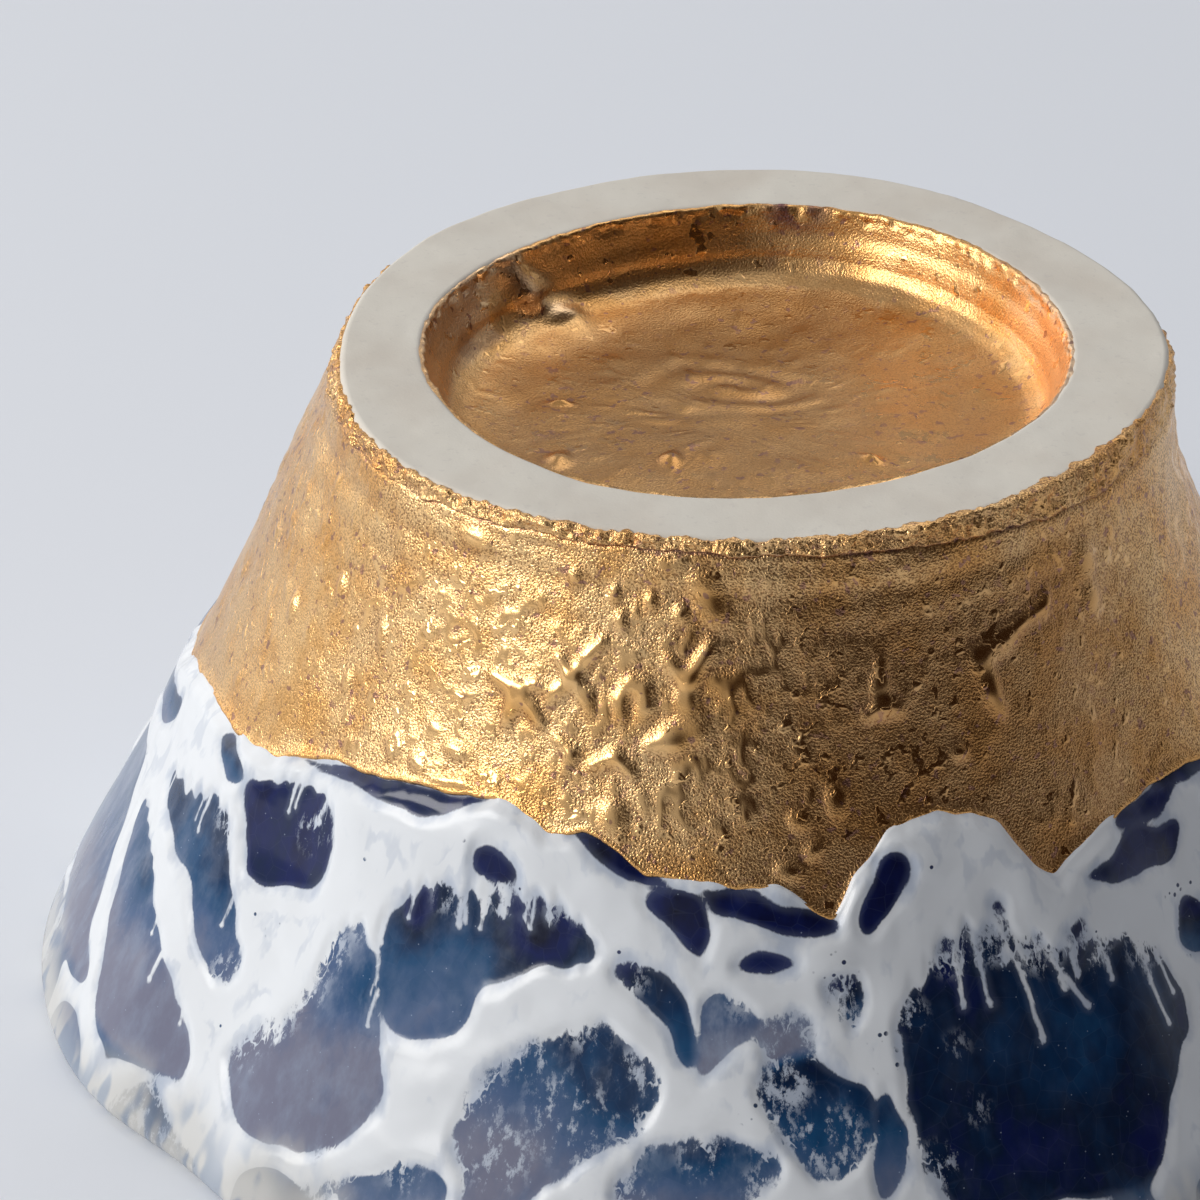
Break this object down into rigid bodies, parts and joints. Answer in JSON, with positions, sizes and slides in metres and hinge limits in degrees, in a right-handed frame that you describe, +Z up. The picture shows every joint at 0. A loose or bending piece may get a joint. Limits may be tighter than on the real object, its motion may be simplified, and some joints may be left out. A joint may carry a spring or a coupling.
{
  "type": "kintsugi sake cup",
  "caption": "Small porcelain sake cup resting on its rim, with a flared wall, a hollow bowl and a turned foot ring, in blue and white sea glaze and gold lustre.",
  "frame": {"origin": "on the ground under the middle of the cup, which rests on its rim", "axes": "+Z up along the cup's axis, from the rim to the foot ring; the picture's camera looks along +Y from the -Y side"},
  "size_m": [0.0744, 0.0744, 0.0367],
  "materials": {
    "sea_glaze": "glossy deep blue crackled glaze under a web of white foam glaze",
    "gold_lustre": "grainy fired gold lustre with small craters and drops",
    "bare_porcelain": "matte unglazed porcelain"
  },
  "bodies": {
    "root": {"sake_cup": "sea_glaze"}
  },
  "joints": []
}
